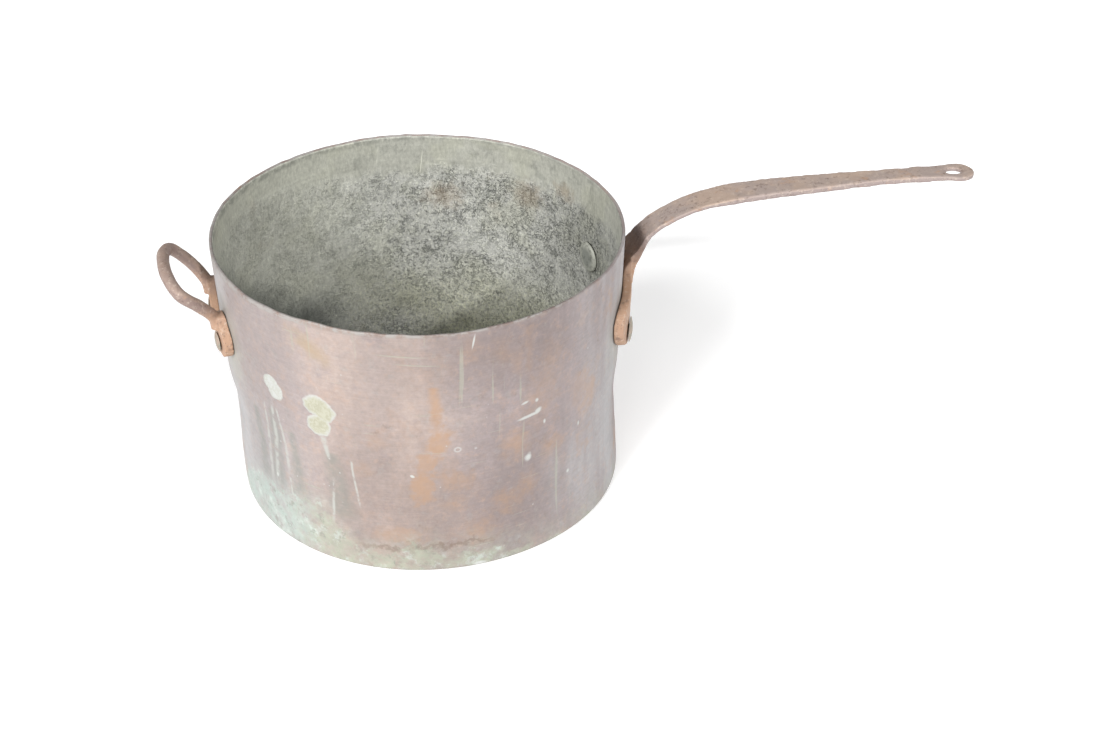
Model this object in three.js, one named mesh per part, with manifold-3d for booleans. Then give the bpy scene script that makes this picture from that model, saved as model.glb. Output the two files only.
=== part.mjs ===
// Large copper saucepan: a deep sheet-copper pan with a tinned inside, a long forged iron strap
// handle and, across from it, a bent iron helper handle. Copper rivets hold both handles.
//
// Millimetres, +Z up. The origin is the middle of the base, on the surface the pan stands on.
// +X points out through the middle of the main handle's foot.
import * as THREE from 'three';
import { mergeVertices } from 'three/addons/utils/BufferGeometryUtils.js';
import Module from 'manifold-3d';

const wasm = await Module();
wasm.setup();

// ---- driving dimensions ----------------------------------------------------------------------
const SEGMENTS = 96;            // facets round the pan
const CLEARANCE = 0.3;          // left between pieces that touch on the real pan

const RIM_RADIUS = 150;         // outside of the rim
const FLOOR_RADIUS = 143.7;     // where the tapered side would meet the floor
const HEIGHT = 205;
const COPPER = 2.2;             // sheet thickness
const RIM_ROUND = 0.6;          // softened edge of the rim
const HEEL_RADIUS = 3;          // bend from the side into the base
const SEAM_RADIUS = 128;        // brazed seam round the base disc
const TIN = 0.4;                // wiped tin lining
const TIN_TOP_INSET = 1.5;      // bare copper left above the lining

const FOOT_THICKNESS = 7;
const FOOT_CENTRE_Z = 133.2;
const FOOT_ROLL = THREE.MathUtils.degToRad(4.3);      // the foot sits slightly tilted
const FOOT_RIVET_ARC = 49.5;    // along the wall, from the handle's middle to each rivet

const STRAP_SKEW = THREE.MathUtils.degToRad(-5.5);    // the strap is knocked to one side
const STRAP_THICKNESS = 4;
const NECK_THICKNESS = 9.6;
const STRAP_END = 264;          // from the rim's radius to the strap's far end
const STRAP_END_RADIUS = 12.5;
const HANG_HOLE_LENGTH = 13;
const HANG_HOLE_WIDTH = 8.5;
const HANG_HOLE_INSET = 15.5;   // from the strap's far end to the middle of the hole

const HELPER_AZIMUTH = THREE.MathUtils.degToRad(184.9);
const HELPER_ROD_RADIUS = 4.6;
const HELPER_FOOT_ARC = 25.2;   // along the wall, from the helper's middle to each foot
const HELPER_FOOT_THICKNESS = 6.4;
const HELPER_RIVET_Z = 146.5;

const MAIN_RIVET = { shank: 4, outerHead: 10, outerRise: 2, innerHead: 12.5, innerRise: 2.4 };
const HELPER_RIVET = { shank: 3.2, outerHead: 7.6, outerRise: 1.6, innerHead: 8.5, innerRise: 2 };

// ---- materials -------------------------------------------------------------------------------
function material(color, roughness, metalness) {
  return new THREE.MeshStandardMaterial({ color, roughness, metalness });
}
const agedCopper = () => material(0x9c7f76, 0.55, 0.6);
const oldTin = () => material(0x8d8d82, 0.6, 0.5);
const rustyIron = () => material(0x86695a, 0.75, 0.4);
const dullRivet = () => material(0x8c8072, 0.6, 0.5);

// ---- solids ----------------------------------------------------------------------------------
// A closed three.js geometry as a Manifold, with its shared points merged and the triangles that
// collapse on a lathe's axis left out.
function toSolid(geometry) {
  const bare = geometry.clone();
  bare.deleteAttribute('normal');
  bare.deleteAttribute('uv');
  const merged = mergeVertices(bare, 1e-4);
  const index = merged.index.array;
  const triangles = [];
  for (let i = 0; i < index.length; i += 3) {
    const [a, b, c] = [index[i], index[i + 1], index[i + 2]];
    if (a !== b && b !== c && c !== a) triangles.push(a, b, c);
  }
  return new wasm.Manifold(new wasm.Mesh({
    numProp: 3,
    vertProperties: new Float32Array(merged.attributes.position.array),
    triVerts: new Uint32Array(triangles),
  }));
}

function toGeometry(solid) {
  const mesh = solid.getMesh();
  const geometry = new THREE.BufferGeometry();
  geometry.setAttribute('position', new THREE.BufferAttribute(new Float32Array(mesh.vertProperties), 3));
  geometry.setIndex(new THREE.BufferAttribute(new Uint32Array(mesh.triVerts), 1));
  const faceted = geometry.toNonIndexed();
  faceted.computeVertexNormals();
  return faceted;
}

function namedMesh(name, solid, finish) {
  const mesh = new THREE.Mesh(toGeometry(solid), finish);
  mesh.name = name;
  return mesh;
}

// A closed profile of [radius, height] points turned about Z.
function turned(profile, segments = SEGMENTS) {
  const points = profile.map(([radius, height]) => new THREE.Vector2(radius, height));
  const geometry = new THREE.LatheGeometry([...points, points[0].clone()], segments);
  return toSolid(geometry.rotateX(Math.PI / 2));
}

// A shape extruded along the third of three axes; its own x and y lie along the first two.
function extruded(shape, depth, [across, up, along], start) {
  const geometry = new THREE.ExtrudeGeometry(shape, { depth, bevelEnabled: false, curveSegments: 12 });
  geometry.translate(0, 0, start);
  geometry.applyMatrix4(new THREE.Matrix4().makeBasis(across, up, along));
  return toSolid(geometry);
}
const X = new THREE.Vector3(1, 0, 0);
const Y = new THREE.Vector3(0, 1, 0);
const Z = new THREE.Vector3(0, 0, 1);

// ---- the tapered side ------------------------------------------------------------------------
function wallRadius(z) {
  return FLOOR_RADIUS + (RIM_RADIUS - FLOOR_RADIUS) * (z / HEIGHT);
}

// Points round the heel at a distance inside the copper's outer skin, from the floor upwards.
function heelArc(inset, steps = 6) {
  const radius = HEEL_RADIUS - inset;
  const points = [];
  for (let i = 0; i <= steps; i += 1) {
    const turn = (i / steps) * (Math.PI / 2);
    const across = FLOOR_RADIUS - HEEL_RADIUS + radius * Math.sin(turn);
    const lean = wallRadius(HEEL_RADIUS) - FLOOR_RADIUS;
    points.push([across + lean * (i / steps), HEEL_RADIUS - radius * Math.cos(turn)]);
  }
  return points;
}

// Everything inside the wall's outer skin, grown by a clearance: cut from whatever is fastened on.
function panKeepOut() {
  const top = HEIGHT * 1.2;
  return turned([[0, 0], [wallRadius(0) + CLEARANCE, 0], [wallRadius(top) + CLEARANCE, top], [0, top]]);
}

// The part of a band outside the wall, between two heights, that is as thick as a foot plate.
function wallBand(low, high, thickness) {
  const inner = CLEARANCE;
  const outer = CLEARANCE + thickness;
  return turned([
    [wallRadius(low) + inner, low],
    [wallRadius(low) + outer, low],
    [wallRadius(high) + outer, high],
    [wallRadius(high) + inner, high],
  ]);
}

// A round hole or pin volume along a radius of the pan.
function radialCylinder(azimuth, z, radius, from = RIM_RADIUS - 20, to = RIM_RADIUS + 20) {
  const geometry = new THREE.CylinderGeometry(radius, radius, to - from, 24);
  geometry.rotateZ(-Math.PI / 2);
  geometry.translate((from + to) / 2, 0, z);
  geometry.rotateZ(azimuth);
  return toSolid(geometry);
}

// ---- rivet places ----------------------------------------------------------------------------
// A point on the main foot, given along the wall and up, after the foot's small roll.
function rolled(arc, z) {
  const rise = z - FOOT_CENTRE_Z;
  return {
    arc: arc * Math.cos(FOOT_ROLL) - rise * Math.sin(FOOT_ROLL),
    z: FOOT_CENTRE_Z + arc * Math.sin(FOOT_ROLL) + rise * Math.cos(FOOT_ROLL),
  };
}

const mainRivets = [['near', -1], ['far', 1]].map(([side, sign]) => {
  const place = rolled(sign * FOOT_RIVET_ARC, FOOT_CENTRE_Z);
  return {
    name: `main_rivet_${side}`,
    azimuth: place.arc / RIM_RADIUS,
    z: place.z,
    footThickness: FOOT_THICKNESS,
    size: MAIN_RIVET,
  };
});

const helperRivets = [['near', 1], ['far', -1]].map(([side, sign]) => ({
  name: `helper_rivet_${side}`,
  azimuth: HELPER_AZIMUTH + sign * (HELPER_FOOT_ARC / RIM_RADIUS),
  z: HELPER_RIVET_Z,
  footThickness: HELPER_FOOT_THICKNESS,
  size: HELPER_RIVET,
}));

const rivets = [...mainRivets, ...helperRivets];

function withRivetHoles(solid, places = rivets) {
  const holes = places.map(({ azimuth, z, size }) => radialCylinder(azimuth, z, size.shank + CLEARANCE));
  return solid.subtract(wasm.Manifold.union(holes));
}

// ---- pan -------------------------------------------------------------------------------------
function panWall() {
  const inside = (z) => wallRadius(z) - COPPER;
  const profile = [
    [SEAM_RADIUS, 0],
    ...heelArc(0),
    [wallRadius(HEIGHT), HEIGHT - RIM_ROUND],
    [wallRadius(HEIGHT) - RIM_ROUND, HEIGHT],
    [inside(HEIGHT) + RIM_ROUND, HEIGHT],
    [inside(HEIGHT), HEIGHT - RIM_ROUND],
    ...heelArc(COPPER).reverse(),
    [SEAM_RADIUS, COPPER],
  ];
  return withRivetHoles(turned(profile));
}

function panBase() {
  const radius = SEAM_RADIUS - CLEARANCE;
  return turned([[0, 0], [radius, 0], [radius, COPPER], [0, COPPER]]);
}

function tinLining() {
  const outer = COPPER + CLEARANCE;
  const inner = outer + TIN;
  const top = HEIGHT - TIN_TOP_INSET;
  return withRivetHoles(turned([
    [0, outer],
    ...heelArc(outer),
    [wallRadius(top) - outer, top],
    [wallRadius(top) - inner, top],
    ...heelArc(inner).reverse(),
    [0, inner],
  ]));
}

// ---- main handle -----------------------------------------------------------------------------
// Half of the fish-tail foot, unrolled: distance along the wall from the middle, and height.
const FOOT_EDGE = [
  [14, 177], [20, 165], [38, 161], [60, 161], [71, 156], [74, 147], [70, 135], [58, 124], [44, 118.5],
  [28, 119.5], [12, 128],
];

function footPlate() {
  const right = FOOT_EDGE.map(([arc, z]) => [arc, z]);
  const left = FOOT_EDGE.map(([arc, z]) => [-arc, z]).reverse();
  const outline = [...right, ...left].map(([arc, z]) => {
    const place = rolled(arc, z);
    return new THREE.Vector3(RIM_RADIUS * Math.sin(place.arc / RIM_RADIUS), place.z, 0);
  });
  const curve = new THREE.CatmullRomCurve3(outline, true, 'centripetal');
  const shape = new THREE.Shape(curve.getPoints(96).map((point) => new THREE.Vector2(point.x, point.y)));
  const block = extruded(shape, RIM_RADIUS, [Y, Z, X], RIM_RADIUS / 2);
  return block.intersect(wallBand(100, 195, FOOT_THICKNESS));
}

// The strap's top edge seen from the side: distance out from the rim's radius, and height.
const STRAP_TOP = [
  [-1, 146], [0.6, 158], [2.4, 166], [6.5, 173], [13, 179.6], [21.5, 186.6], [32, 194], [46, 201.2],
  [62, 207], [82, 211.6], [105, 215.2], [130, 218], [160, 220.3], [195, 222.3], [230, 223.6],
  [STRAP_END + 4, 224],
];

function strapSide() {
  const top = new THREE.SplineCurve(STRAP_TOP.map(([out, z]) => new THREE.Vector2(RIM_RADIUS + out, z)));
  const steps = 72;
  const upper = [];
  const lower = [];
  for (let i = 0; i <= steps; i += 1) {
    const point = top.getPoint(i / steps);
    const along = top.getTangent(i / steps);
    const out = point.x - RIM_RADIUS;
    const blend = THREE.MathUtils.smoothstep(out, 3, 24);
    const thickness = THREE.MathUtils.lerp(NECK_THICKNESS, STRAP_THICKNESS, blend);
    upper.push(point);
    lower.push(new THREE.Vector2(point.x + along.y * thickness, point.y - along.x * thickness));
  }
  const shape = new THREE.Shape([...upper, ...lower.reverse()]);
  const width = 4 * STRAP_END_RADIUS;
  return extruded(shape, width, [X, Z, Y.clone().negate()], -width / 2);
}

// The strap's half width from above: distance out from the rim's radius, and half width.
const STRAP_HALF_WIDTH = [
  [-12, 15], [20, 14.2], [50, 13.8], [90, 13], [125, 11.9], [160, 10.2], [195, 8.4], [218, 8.6],
];

function strapPlan() {
  const endCentre = STRAP_END - STRAP_END_RADIUS;
  const far = STRAP_HALF_WIDTH.map(([out, half]) => new THREE.Vector2(RIM_RADIUS + out, half));
  const end = [];
  for (let turn = 125; turn >= -125; turn -= 12.5) {
    const angle = THREE.MathUtils.degToRad(turn);
    end.push(new THREE.Vector2(
      RIM_RADIUS + endCentre + STRAP_END_RADIUS * Math.cos(angle),
      STRAP_END_RADIUS * Math.sin(angle),
    ));
  }
  const near = far.map((point) => new THREE.Vector2(point.x, -point.y)).reverse();
  const shape = new THREE.Shape([...far, ...end, ...near]);
  const hole = new THREE.Path();
  const holeCentre = RIM_RADIUS + STRAP_END - HANG_HOLE_INSET;
  hole.absellipse(holeCentre, 0, HANG_HOLE_LENGTH / 2, HANG_HOLE_WIDTH / 2, 0, 2 * Math.PI, false);
  shape.holes.push(hole);
  return extruded(shape, HEIGHT, [X, Y, Z], HEIGHT / 2);
}

function mainHandle() {
  const neck = new THREE.Vector3(RIM_RADIUS, 0, 0);
  const skew = THREE.MathUtils.radToDeg(STRAP_SKEW);
  const strap = strapSide().intersect(strapPlan())
    .translate([-neck.x, 0, 0]).rotate([0, 0, skew]).translate([neck.x, 0, 0]);
  const forged = footPlate().add(strap).subtract(panKeepOut());
  return withRivetHoles(forged, mainRivets);
}

// ---- helper handle ---------------------------------------------------------------------------
// Half of the rod's middle line, in the helper's own frame: out from the pan's axis, sideways, up.
const HELPER_ROUTE = [
  [152.6, 25.2, 158], [153.8, 25.8, 166.5], [162.5, 30.9, 179.5], [175.5, 32.9, 192.8],
  [181.4, 18.2, 198.6],
];
const HELPER_APEX = [183, 0, 200];

function helperRod() {
  const near = HELPER_ROUTE.map(([out, side, z]) => new THREE.Vector3(out, side, z));
  const far = HELPER_ROUTE.map(([out, side, z]) => new THREE.Vector3(out, -side, z)).reverse();
  const route = new THREE.CatmullRomCurve3([...near, new THREE.Vector3(...HELPER_APEX), ...far]);
  const section = new THREE.Shape();
  section.absarc(0, 0, HELPER_ROD_RADIUS, 0, 2 * Math.PI, false);
  return toSolid(new THREE.ExtrudeGeometry(section, {
    extrudePath: route, steps: 64, curveSegments: 7, bevelEnabled: false,
  }));
}

// Half of a leaf-shaped foot: sideways from its middle, and height.
const LEAF_EDGE = [[4.6, 169], [7.5, 163.5], [11, 157.5], [13, 150], [12.4, 143.5], [9.4, 138.5], [5, 136]];

function helperFoot(side) {
  const middle = side * HELPER_FOOT_ARC;
  const right = LEAF_EDGE.map(([across, z]) => new THREE.Vector3(middle + across, z, 0));
  const left = LEAF_EDGE.map(([across, z]) => new THREE.Vector3(middle - across, z, 0)).reverse();
  const curve = new THREE.CatmullRomCurve3([...right, ...left], true, 'centripetal');
  const shape = new THREE.Shape(curve.getPoints(48).map((point) => new THREE.Vector2(point.x, point.y)));
  return extruded(shape, RIM_RADIUS, [Y, Z, X], RIM_RADIUS / 2)
    .intersect(wallBand(120, 185, HELPER_FOOT_THICKNESS));
}

function helperHandle() {
  const bent = helperRod().add(helperFoot(1)).add(helperFoot(-1));
  const placed = bent.rotate([0, 0, THREE.MathUtils.radToDeg(HELPER_AZIMUTH)]);
  return withRivetHoles(placed.subtract(panKeepOut()), helperRivets);
}

// ---- rivets ----------------------------------------------------------------------------------
// One rivet about its own axis: a flat head inside the pan, the shank, and a domed head outside.
// Height 0 is the wall's outer skin, and up is outwards.
function rivetBody({ footThickness, size }) {
  const sag = size.innerHead ** 2 / (2 * RIM_RADIUS);       // the head is flat, the wall is round
  const innerSeat = -(COPPER + CLEARANCE + TIN + CLEARANCE + sag);
  const outerSeat = CLEARANCE + footThickness + CLEARANCE;
  const domeSteps = 5;
  const dome = [];
  for (let i = 0; i <= domeSteps; i += 1) {
    const turn = (i / domeSteps) * (Math.PI / 2);
    dome.push([size.outerHead * Math.cos(turn), outerSeat + 0.6 + size.outerRise * Math.sin(turn)]);
  }
  return turned([
    [0, innerSeat - size.innerRise],
    [size.innerHead * 0.8, innerSeat - size.innerRise],
    [size.innerHead, innerSeat - 0.8],
    [size.innerHead, innerSeat],
    [size.shank, innerSeat],
    [size.shank, outerSeat],
    [size.outerHead, outerSeat],
    ...dome.map(([radius, height]) => [radius < 1e-6 ? 0 : radius, height]),
  ], 32);
}

function rivet(place) {
  const mesh = namedMesh(place.name, rivetBody(place), dullRivet());
  const arm = new THREE.Group();
  mesh.rotation.y = Math.PI / 2;
  mesh.position.set(wallRadius(place.z), 0, place.z);
  arm.rotation.z = place.azimuth;
  arm.add(mesh);
  return arm;
}

// ---- assembly --------------------------------------------------------------------------------
const saucepan = new THREE.Group();
saucepan.add(
  namedMesh('pan_wall', panWall(), agedCopper()),
  namedMesh('pan_base', panBase(), agedCopper()),
  namedMesh('tin_lining', tinLining(), oldTin()),
  namedMesh('main_handle', mainHandle(), rustyIron()),
  namedMesh('helper_handle', helperHandle(), rustyIron()),
  ...rivets.map(rivet),
);

export default saucepan;
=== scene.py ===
import math

import bmesh
import bpy
import numpy as np
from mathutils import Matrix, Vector


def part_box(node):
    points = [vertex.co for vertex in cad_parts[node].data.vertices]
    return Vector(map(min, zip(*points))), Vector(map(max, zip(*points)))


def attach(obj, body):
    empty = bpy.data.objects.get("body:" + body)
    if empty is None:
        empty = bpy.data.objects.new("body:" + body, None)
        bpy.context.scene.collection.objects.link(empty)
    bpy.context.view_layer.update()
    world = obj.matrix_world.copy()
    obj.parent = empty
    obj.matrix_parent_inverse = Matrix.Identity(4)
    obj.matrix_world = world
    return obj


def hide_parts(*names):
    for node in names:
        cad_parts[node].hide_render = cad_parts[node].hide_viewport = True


# A large old copper saucepan: patinated copper outside, wiped tin inside, and two
# rusted wrought-iron handles held by copper rivets. +X runs out through the middle of
# the main handle's foot, +Z up through the open top. Lengths are in metres.

MM = 0.001

# ---- the pan's own proportions -------------------------------------------------------
RIM_RADIUS = 150 * MM
FLOOR_RADIUS = 143.7 * MM
HEIGHT = 205 * MM
COPPER = 2.2 * MM
HEEL = 3 * MM
SEAM_RADIUS = 128 * MM
SEAM_GAP = 0.3 * MM
TIN_INSET = 0.8 * MM
TIN_GAP = 0.1 * MM
TIN = 0.4 * MM
DISH = 0.5 * MM
AROUND = 540
FRONT = math.radians(-100.5)   # the pan's azimuth that faces the camera

# Azimuths in degrees. The main handle's foot is at 0; its rivets stand this far to each side.
MAIN_RIVETS = 18.9
HELPER_FOOT = 184.9
HELPER_RIVETS = 9.6

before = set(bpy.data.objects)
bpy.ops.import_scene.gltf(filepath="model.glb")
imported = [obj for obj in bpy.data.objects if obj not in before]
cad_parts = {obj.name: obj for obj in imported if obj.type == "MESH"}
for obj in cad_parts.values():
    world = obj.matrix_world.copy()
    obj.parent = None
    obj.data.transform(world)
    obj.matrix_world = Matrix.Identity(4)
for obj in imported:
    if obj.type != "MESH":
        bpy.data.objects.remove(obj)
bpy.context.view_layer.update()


# ---- mesh helpers --------------------------------------------------------------------
def add_mesh(name, points, faces):
    mesh = bpy.data.meshes.new(name)
    mesh.from_pydata([tuple(p) for p in points], [], faces)
    mesh.validate()
    mesh.polygons.foreach_set("use_smooth", [True] * len(mesh.polygons))
    mesh.update()
    piece = bpy.data.objects.new(name, mesh)
    bpy.context.scene.collection.objects.link(piece)
    return piece


def outward(piece):
    """Turns every face of a closed mesh outward."""
    work = bmesh.new()
    work.from_mesh(piece.data)
    bmesh.ops.recalc_face_normals(work, faces=work.faces)
    work.to_mesh(piece.data)
    work.free()
    return piece


def weld(piece, distance):
    """Joins points that lie within `distance` of each other."""
    work = bmesh.new()
    work.from_mesh(piece.data)
    bmesh.ops.remove_doubles(work, verts=work.verts, dist=distance)
    work.to_mesh(piece.data)
    work.free()


def waves(points, size, seed, count=28):
    """Smooth noise from -1 to 1 over space: plane waves about `size` metres long."""
    rng = np.random.default_rng(seed)
    total = np.zeros(len(points))
    for _ in range(count):
        way = rng.normal(size=3)
        way /= np.linalg.norm(way)
        pace = 2 * math.pi / (size * rng.uniform(0.7, 1.5))
        total += np.cos(points @ way * pace + rng.uniform(0, 2 * math.pi))
    return total / math.sqrt(count / 2) * 0.6


def smooth(value, low, high):
    t = np.clip((value - low) / (high - low), 0, 1)
    return t * t * (3 - 2 * t)


def turn_gap(azimuth, centre):
    """Angle from `centre`, in degrees, without sign."""
    return np.abs((np.degrees(azimuth) - centre + 180) % 360 - 180)


# ---- how the old pan has gone out of true --------------------------------------------
def near_feet(azimuth, z):
    """1 where a handle's foot lies on the wall, 0 well away from both feet."""
    main = 1 - smooth(turn_gap(azimuth, 0), 33, 50)
    helper = 1 - smooth(turn_gap(azimuth, HELPER_FOOT), 14, 26)
    return np.maximum(main, helper) * smooth(z, 0.085, 0.112)


def bulge(azimuth, z, push, around, height):
    """A soft swelling `push` mm high, a hollow if below 0. `around` is its middle and half width
    in degrees, `height` its middle and half height in mm."""
    across = np.exp(-(turn_gap(azimuth, around[0]) / around[1]) ** 2)
    upright = np.exp(-((z / MM - height[0]) / height[1]) ** 2)
    return push * MM * across * upright


def out_of_true(azimuth, z, points):
    """How far the wall is pushed out, in metres: ovality, hammer marks, a waist and a rolled-out
    foot by the main handle, a swell at the front of the foot and a flat on the left."""
    level = np.clip(z / HEIGHT, 0, 1)
    free = 1 - near_feet(azimuth, z)
    oval = -0.5 * MM + 0.5 * MM * np.cos(2 * (azimuth - math.radians(8)))
    slow = 0.4 * MM * waves(points, 0.11, 3)
    marks = 0.16 * MM * waves(points, 0.028, 11, 40)
    waist = bulge(azimuth, z, -1.8, (-10, 18), (72, 26))
    flat = bulge(azimuth, z, -2.8, (181, 24), (78, 40))
    corner = bulge(azimuth, z, 4.8, (-32, 34), (0, 34))
    front = bulge(azimuth, z, 1.3, (-112, 48), (0, 55))
    fade = smooth(z, 0.002, 0.02)
    soft = (slow + marks - 0.2 * MM) * free * fade
    return oval * level + soft + (waist + flat) * free + corner + front


def lift(azimuth, z, points):
    """How far a point is raised, in metres: the rim isn't level or quite straight."""
    level = smooth(z, 0.06, HEIGHT)
    tilt = -2.2 * MM * np.cos(azimuth - math.radians(-10.5))
    ripple = 0.35 * MM * waves(points, 0.06, 19)
    nicks = 0.22 * MM * waves(points, 0.012, 23, 50) * smooth(z, HEIGHT - 0.006, HEIGHT)
    return level * (tilt + ripple) + nicks


def dished(points, edge):
    """How far a floor point is raised, in metres: a slight dish with hammer marks."""
    radius = np.hypot(points[:, 0], points[:, 1])
    flat = np.stack([points[:, 0], points[:, 1], np.zeros(len(points))], 1)
    rise = DISH * (1 - (radius / edge) ** 2) + 0.13 * MM * waves(flat, 0.02, 5)
    return np.maximum(rise, 0) * (1 - smooth(radius, 0.11, edge))


def revolve(name, profile, around=AROUND, closed=True, floor_edge=None):
    """Revolves (radius, height) points about +Z, then lets the copper go out of true. A profile
    that isn't closed gets a flat cap at each end; `floor_edge` dishes the floor inside it."""
    profile = np.array(profile)
    rows = len(profile)
    azimuth = np.arange(around) * 2 * math.pi / around
    a, r = np.meshgrid(azimuth, profile[:, 0], indexing="ij")
    _, z = np.meshgrid(azimuth, profile[:, 1], indexing="ij")
    a, r, z = a.ravel(), r.ravel(), z.ravel()
    wall = np.stack([RIM_RADIUS * np.cos(a), RIM_RADIUS * np.sin(a), z], 1)
    share = smooth(r, 0.10, 0.135)
    push = out_of_true(a, z, wall) * share
    points = np.stack([(r + push) * np.cos(a), (r + push) * np.sin(a), z], 1)
    points[:, 2] += lift(a, z, wall) * share
    if floor_edge:
        points[:, 2] += dished(points, floor_edge) * (z < 0.02)
    faces = []
    last = rows if closed else rows - 1
    for i in range(around):
        n = (i + 1) % around
        for j in range(last):
            k = (j + 1) % rows
            faces.append((i * rows + j, i * rows + k, n * rows + k, n * rows + j))
    if not closed:
        faces.append([i * rows for i in range(around)])
        faces.append([i * rows + rows - 1 for i in range(around)][::-1])
    return add_mesh(name, points, faces)


def wall_radius(z):
    return FLOOR_RADIUS + (RIM_RADIUS - FLOOR_RADIUS) * z / HEIGHT


def arc_points(centre, radius, start, end, count):
    steps = np.radians(np.linspace(start, end, count))
    return [(centre[0] + radius * math.cos(s), centre[1] + radius * math.sin(s)) for s in steps]


def side_skin(inset, top, rows):
    """The side's profile from its rim down round the heel, `inset` inside the outer skin."""
    heights = np.linspace(top, HEEL, rows)
    skin = [(wall_radius(z) - inset, z) for z in heights]
    centre = (wall_radius(HEEL) - HEEL, HEEL)
    skin += arc_points(centre, HEEL - inset, 0, -90, 9)[1:]
    return skin


# ---- pieces of the pan ---------------------------------------------------------------
def make_side():
    round_over = 0.9 * MM
    outer = side_skin(0, HEIGHT - round_over, 150)
    inner = side_skin(COPPER, HEIGHT - round_over, 150)
    flats = np.linspace(outer[-1][0], SEAM_RADIUS, 8)[1:]
    outer += [(r, 0.0) for r in flats]
    inner += [(r, COPPER) for r in flats]
    crown = (wall_radius(HEIGHT) - COPPER / 2, HEIGHT - round_over)
    rim = [(crown[0] - COPPER / 2 * math.cos(s), crown[1] + round_over * math.sin(s))
           for s in np.radians(np.linspace(0, 180, 9))[1:-1]]
    side = revolve("copper_side", outer + inner[::-1] + rim)
    return outward(side)


def make_base():
    """The brazed-in disc: hammered nearly flat, its edge a hair inside the side's seam."""
    edge = SEAM_RADIUS - SEAM_GAP
    radii = list(np.linspace(0.004, edge - 0.3 * MM, 60))
    under = [(r, 0.0) for r in radii] + [(edge, 0.3 * MM)]
    top = [(edge, COPPER - 0.3 * MM)] + [(r, COPPER) for r in radii[::-1]]
    disc = revolve("copper_base", under + top, 240, closed=False, floor_edge=edge)
    return outward(disc)


def make_lining():
    """The wiped tin: a thin skin over the whole inside."""
    near = COPPER + TIN_GAP
    far = near + TIN
    top = HEIGHT - TIN_INSET
    edge = 0.136
    floor = list(np.linspace(edge, 0.004, 40))
    back = side_skin(near, top, 130) + [(r, near) for r in floor]
    face = side_skin(far, top, 130) + [(r, far) for r in floor]
    lining = revolve("tin_lining_skin", back[::-1] + face, closed=False, floor_edge=edge)
    return outward(lining)


# The strap's bend, as (distance from the pan's axis, height) in mm: up the neck's inner face,
# and on up and out along the top of the bend.
NECK_INNER = ((149, 160), (150.5, 164), (155, 169), (160, 174), (164, 179), (167.6, 185))
STRAP_TOP = ((167.5, 185), (174, 190), (181.3, 195), (190.3, 200), (202, 205), (218.3, 210),
             (244.6, 215))


def sprung_neck(points):
    """Forges the neck: it springs clear of the wall below the rim and stays thin round the bend."""
    x, y, z = points.T
    out = np.hypot(x, y)
    turn = np.arctan2(y, x)
    reach, level = np.array(NECK_INNER).T * MM
    neck = (z > level[0]) & (z < level[-1] + 2 * MM) & (y < 0.02)
    out = np.where(neck, np.maximum(out, np.interp(z, level, reach)), out)
    reach, level = np.array(STRAP_TOP).T * MM
    below = smooth(np.interp(out, reach, level) - z, 1.5 * MM, 6 * MM)
    bend = smooth(out, 0.160, 0.172) * (1 - smooth(out, 0.20, 0.24)) * smooth(z, 0.166, 0.178)
    z = z + 0.8 * MM * below * bend
    shoulder = smooth(out, 0.158, 0.172) * (1 - smooth(out, 0.20, 0.30)) * smooth(z, 0.165, 0.18)
    z = z + 2.4 * MM * shoulder
    y = y * (1 - 0.05 * bend)
    return np.stack([out * np.cos(turn), out * np.sin(turn) + (y - points[:, 1]), z], 1)


def voxel_skin(piece, voxel, rounds):
    """Remeshes a piece as one even skin and softens it."""
    skin = piece.modifiers.new("skin", "REMESH")
    skin.mode = "VOXEL"
    skin.voxel_size = voxel
    ease = piece.modifiers.new("ease", "SMOOTH")
    ease.factor = 0.5
    ease.iterations = rounds
    graph = bpy.context.evaluated_depsgraph_get()
    mesh = bpy.data.meshes.new_from_object(piece.evaluated_get(graph))
    piece.modifiers.clear()
    piece.data = mesh


def read_points(mesh):
    points = np.zeros(len(mesh.vertices) * 3)
    mesh.vertices.foreach_get("co", points)
    return points.reshape(-1, 3)


def forged(name, node, voxel, rounds, marks, seed, shape=None, stout=0.0):
    """A hand-forged skin over a CAD iron piece: arrises softened `rounds` times and hammer marks
    about `marks` deep. `shape` moves its points before the last softening; `stout` swells the
    strap beyond its bend."""
    piece = bpy.data.objects.new(name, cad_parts[node].data.copy())
    bpy.context.scene.collection.objects.link(piece)
    weld(piece, 0.01 * MM)
    if shape:
        voxel_skin(piece, voxel, 1)
        piece.data.vertices.foreach_set("co", shape(read_points(piece.data)).ravel())
        piece.data.update()
    voxel_skin(piece, voxel, rounds)
    mesh = piece.data
    points = read_points(mesh)
    normals = np.zeros(len(mesh.vertices) * 3)
    mesh.vertex_normals.foreach_get("vector", normals)
    normals = normals.reshape(-1, 3)
    dent = np.minimum(waves(points, 0.013, seed, 40) * marks - marks * 0.6, 0)
    pits = np.minimum(waves(points, 0.004, seed + 1, 60) * marks * 0.5, 0)
    beyond = smooth(points[:, 0], 0.20, 0.24) * (1 - smooth(points[:, 0], 0.37, 0.395))
    points += normals * (dent + pits + stout * beyond)[:, None]
    mesh.vertices.foreach_set("co", points.ravel())
    mesh.polygons.foreach_set("use_smooth", [True] * len(mesh.polygons))
    mesh.update()
    return piece


def rivet_ends(node, turn):
    """The least and greatest reach of a CAD rivet along its own radial line."""
    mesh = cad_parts[node].data
    along = [v.co.x * math.cos(turn) + v.co.y * math.sin(turn) for v in mesh.vertices]
    return min(along), max(along)


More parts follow.
